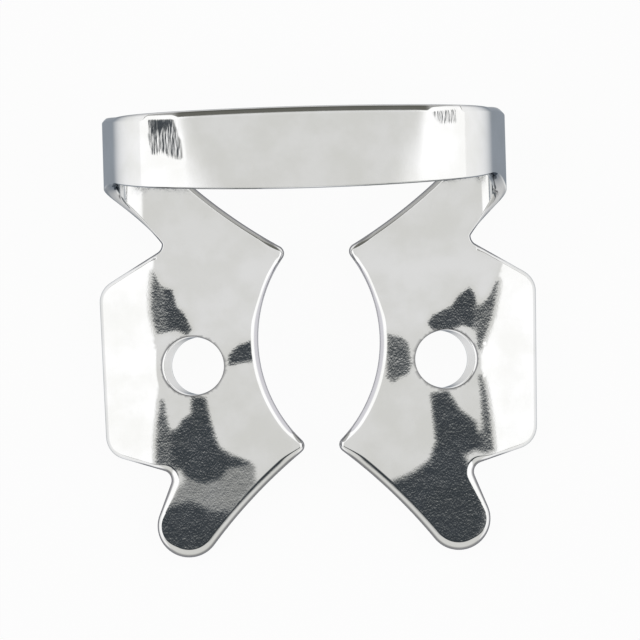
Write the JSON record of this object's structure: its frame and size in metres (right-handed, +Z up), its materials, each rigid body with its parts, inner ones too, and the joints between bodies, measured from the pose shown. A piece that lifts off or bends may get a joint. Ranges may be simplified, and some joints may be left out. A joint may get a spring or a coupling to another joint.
{
  "type": "rubber dam clamp",
  "caption": "Winged spring clamp of polished sheet steel that grips a tooth between toothed jaws and holds a rubber sheet, with an arched bow and holes for spreading forceps.",
  "frame": {"origin": "centre of the clamp's outline, on the surface that it lies on", "axes": "+Z up through the top of the bow, +Y from the front lobes towards the bow, +X across the jaws to the right one"},
  "size_m": [0.0198, 0.0202, 0.0097],
  "materials": {
    "polished_steel": "polished"
  },
  "bodies": {
    "root": {"clamp": "polished_steel"}
  },
  "joints": []
}
